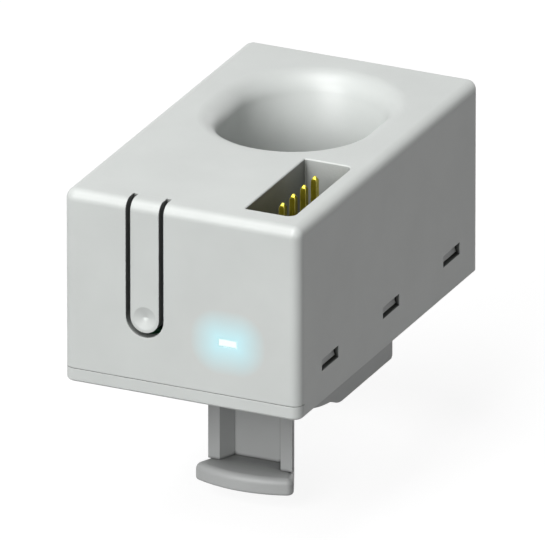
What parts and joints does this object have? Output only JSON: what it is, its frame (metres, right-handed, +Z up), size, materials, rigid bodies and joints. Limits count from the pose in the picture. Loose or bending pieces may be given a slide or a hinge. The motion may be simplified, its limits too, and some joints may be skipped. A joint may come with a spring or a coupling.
{
  "type": "current sensor",
  "caption": "Current sensor: a box with an oblong cable passage, a pin connector pocket and a push button, on an adapter foot whose release latch pulls down.",
  "frame": {"origin": "on the axis of the cable passage, in the plane of the housing's underside, which rests on the adapter foot", "axes": "+X to the right as the front wall with the button is seen, +Y from the front wall to the back wall, +Z up along the cable passage"},
  "size_m": [0.0254, 0.0426, 0.035],
  "materials": {
    "housing_plastic": "finely textured pale grey moulding",
    "base_plastic": "finely textured pale grey moulding",
    "clear_plastic": "milky light guide",
    "board_laminate": "green solder resist",
    "header_plastic": "black moulding",
    "pin_metal": "plated",
    "led_resin": "clear resin",
    "chip_plastic": "black moulding compound",
    "plunger_plastic": "moulded",
    "can_metal": "plated can",
    "capacitor_ceramic": "fired ceramic",
    "core_metal": "pressed core",
    "foot_plastic": "finely textured pale grey moulding",
    "latch_plastic": "finely textured pale grey moulding"
  },
  "bodies": {
    "housing": {"upper_housing": "housing_plastic", "base_cover": "base_plastic", "light_guide": "clear_plastic", "circuit_board": "board_laminate", "header_base": "header_plastic", "header_pin_1": "pin_metal", "header_pin_2": "pin_metal", "header_pin_3": "pin_metal", "header_pin_4": "pin_metal", "status_led": "led_resin", "switch_body": "chip_plastic", "microcontroller": "chip_plastic", "bus_transceiver": "chip_plastic", "voltage_regulator": "chip_plastic", "crystal": "can_metal", "buffer_capacitor": "capacitor_ceramic", "filter_capacitor_1": "capacitor_ceramic", "filter_capacitor_2": "capacitor_ceramic", "filter_capacitor_3": "capacitor_ceramic", "magnetic_core": "core_metal", "core_cradle": "base_plastic", "hall_sensor": "chip_plastic", "adapter_foot": "foot_plastic"},
    "button": {"button_tongue": "housing_plastic"},
    "plunger": {"switch_plunger": "plunger_plastic"},
    "latch": {"release_latch": "latch_plastic"}
  },
  "joints": [
    {"name": "button_press", "type": "hinge", "parent": "housing", "child": "button", "pos_m": [-0.00394, -0.0263, 0.02023], "axis": [1, 0, 0], "range_deg": [0, 1.5], "stiffness_Nm_per_rad": 0.4},
    {"name": "plunger_press", "type": "slide", "parent": "housing", "child": "plunger", "axis": [0, 1, 0], "range_m": [0, 0.00033]},
    {"name": "latch_pull", "type": "slide", "parent": "housing", "child": "latch", "axis": [0, 0, -1], "range_m": [0, 0.002]}
  ],
  "couplings": [
    {"joint": "plunger_press", "follows": "button_press", "m_per_rad": 0.0122}
  ]
}
